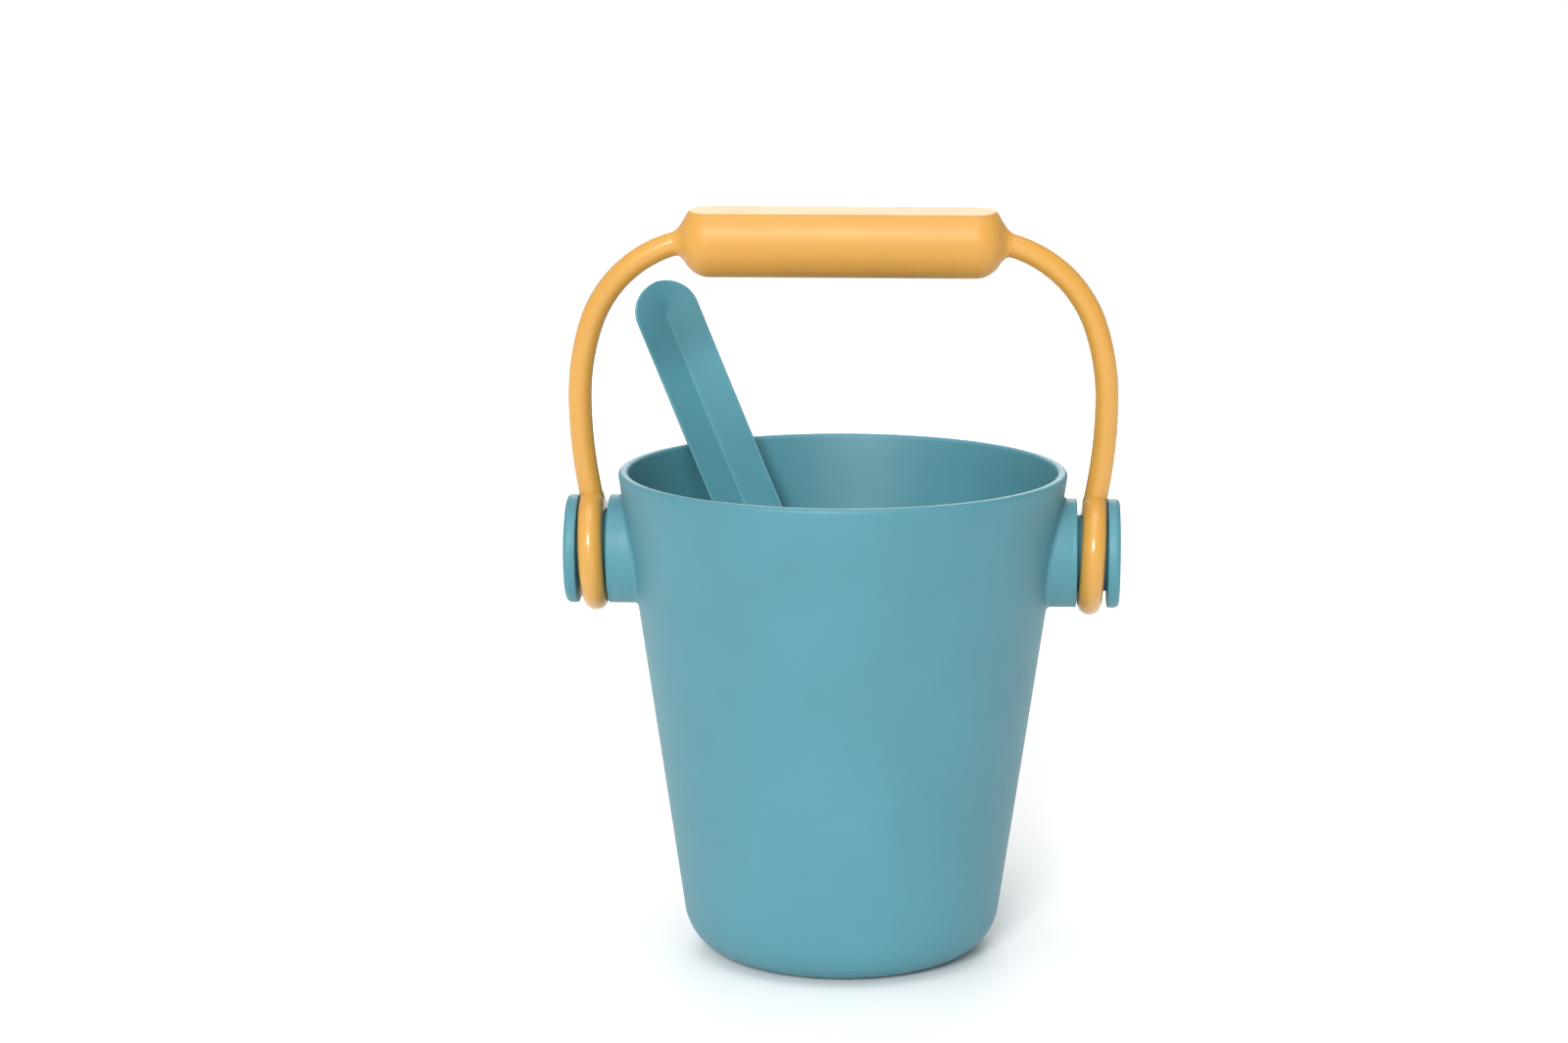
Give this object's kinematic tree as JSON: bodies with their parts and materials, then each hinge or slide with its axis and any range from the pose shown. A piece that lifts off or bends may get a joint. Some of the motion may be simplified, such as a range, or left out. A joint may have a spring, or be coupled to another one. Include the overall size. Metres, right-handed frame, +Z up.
{
  "type": "sand bucket",
  "caption": "Tapered round sand bucket with an arched swinging handle on side hubs, and a folded-trough shovel standing in it.",
  "frame": {"origin": "centre of the flat base that the bucket stands on", "axes": "+Z up, +X along the handle's hinge axis, -Y towards the front"},
  "size_m": [0.1722, 0.1396, 0.2353],
  "materials": {
    "tub_plastic": "matte teal, very fine texture",
    "handle_plastic": "satin-gloss warm yellow",
    "shovel_plastic": "matte teal"
  },
  "bodies": {
    "tub": {"tub": "tub_plastic", "left_cap": "tub_plastic", "right_cap": "tub_plastic"},
    "handle": {"handle_rod": "handle_plastic", "left_ring": "handle_plastic", "right_ring": "handle_plastic", "grip": "handle_plastic"},
    "shovel": {"shovel": "shovel_plastic"}
  },
  "joints": [
    {"name": "handle_swing", "type": "hinge", "parent": "tub", "child": "handle", "pos_m": [0, 0, 0.1277], "axis": [1, 0, 0], "range_deg": [-32, 130]},
    {"name": "shovel_lift", "type": "slide", "parent": "tub", "child": "shovel", "axis": [-0.0976, 0.1952, 0.9759], "range_m": [0, 0.26]}
  ]
}
